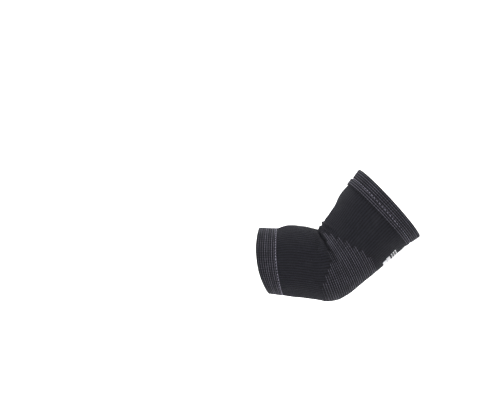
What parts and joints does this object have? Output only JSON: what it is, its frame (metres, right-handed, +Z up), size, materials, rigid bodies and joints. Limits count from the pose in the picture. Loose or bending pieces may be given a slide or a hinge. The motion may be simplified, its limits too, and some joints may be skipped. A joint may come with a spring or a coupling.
{
  "type": "elastic elbow sleeve",
  "caption": "Knitted elastic elbow support sleeve, open at both ends, with turned cuffs and an elastic-striped panel over the point of the elbow.",
  "frame": {"origin": "middle of the elbow's flexion axis, inside the sleeve", "axes": "+Y along the flexion axis, across the arm; +Z up; the forearm end points along -X and the upper-arm end up along +X and +Z, as worn with the elbow bent"},
  "size_m": [0.2137, 0.0998, 0.1745],
  "materials": {
    "plain_knit": "matt black ribbed knit",
    "striped_knit": "matt black knit with laid-in grey elastic",
    "cuff_knit": "matt black knit with laid-in grey elastic",
    "elastic_thread": "grey flecked covered rubber thread",
    "stitching": "grey twisted sewing thread",
    "transfer_print": "satin light grey transfer film, slightly cracked"
  },
  "bodies": {
    "upper_sleeve": {"upper_tube": "plain_knit", "upper_cuff": "cuff_knit", "upper_hem_stitches": "stitching", "transfer_patch": "transfer_print", "elbow_panel": "striped_knit", "crook_panel": "plain_knit", "upper_cuff_elastic_1": "elastic_thread", "upper_cuff_elastic_2": "elastic_thread", "upper_cuff_elastic_3": "elastic_thread", "upper_cuff_elastic_4": "elastic_thread", "upper_cuff_elastic_5": "elastic_thread", "upper_cuff_elastic_6": "elastic_thread", "upper_cuff_elastic_7": "elastic_thread", "upper_cuff_elastic_8": "elastic_thread", "elbow_elastic_01": "elastic_thread", "elbow_elastic_02": "elastic_thread", "elbow_elastic_03": "elastic_thread", "elbow_elastic_04": "elastic_thread", "elbow_elastic_05": "elastic_thread", "elbow_elastic_06": "elastic_thread", "elbow_elastic_07": "elastic_thread", "elbow_elastic_08": "elastic_thread", "elbow_elastic_09": "elastic_thread", "elbow_elastic_10": "elastic_thread", "elbow_elastic_11": "elastic_thread", "elbow_elastic_12": "elastic_thread", "elbow_elastic_13": "elastic_thread", "elbow_elastic_14": "elastic_thread", "elbow_elastic_15": "elastic_thread", "elbow_elastic_16": "elastic_thread", "elbow_elastic_17": "elastic_thread", "elbow_elastic_18": "elastic_thread", "elbow_elastic_19": "elastic_thread", "elbow_elastic_20": "elastic_thread", "elbow_elastic_21": "elastic_thread", "elbow_elastic_22": "elastic_thread", "elbow_elastic_23": "elastic_thread", "elbow_elastic_24": "elastic_thread", "elbow_elastic_25": "elastic_thread", "elbow_elastic_26": "elastic_thread", "elbow_elastic_27": "elastic_thread"},
    "forearm_sleeve": {"forearm_tube": "plain_knit", "forearm_cuff": "cuff_knit", "forearm_hem_stitches": "stitching", "forearm_cuff_elastic_1": "elastic_thread", "forearm_cuff_elastic_2": "elastic_thread", "forearm_cuff_elastic_3": "elastic_thread", "forearm_cuff_elastic_4": "elastic_thread", "forearm_cuff_elastic_5": "elastic_thread", "forearm_cuff_elastic_6": "elastic_thread", "forearm_cuff_elastic_7": "elastic_thread", "forearm_cuff_elastic_8": "elastic_thread", "forearm_cuff_elastic_9": "elastic_thread"}
  },
  "joints": [
    {"name": "elbow_flex", "type": "hinge", "parent": "upper_sleeve", "child": "forearm_sleeve", "pos_m": [0, 0, 0], "axis": [0, 1, 0], "range_deg": [-53, 64], "deforming": ["elbow_panel", "crook_panel", "elbow_elastic_01", "elbow_elastic_02", "elbow_elastic_03", "elbow_elastic_04", "elbow_elastic_05", "elbow_elastic_06", "elbow_elastic_07", "elbow_elastic_08", "elbow_elastic_09", "elbow_elastic_10", "elbow_elastic_11", "elbow_elastic_12", "elbow_elastic_13", "elbow_elastic_14", "elbow_elastic_15", "elbow_elastic_16", "elbow_elastic_17", "elbow_elastic_18", "elbow_elastic_19", "elbow_elastic_20", "elbow_elastic_21", "elbow_elastic_22", "elbow_elastic_23", "elbow_elastic_24", "elbow_elastic_25", "elbow_elastic_26", "elbow_elastic_27"]}
  ]
}
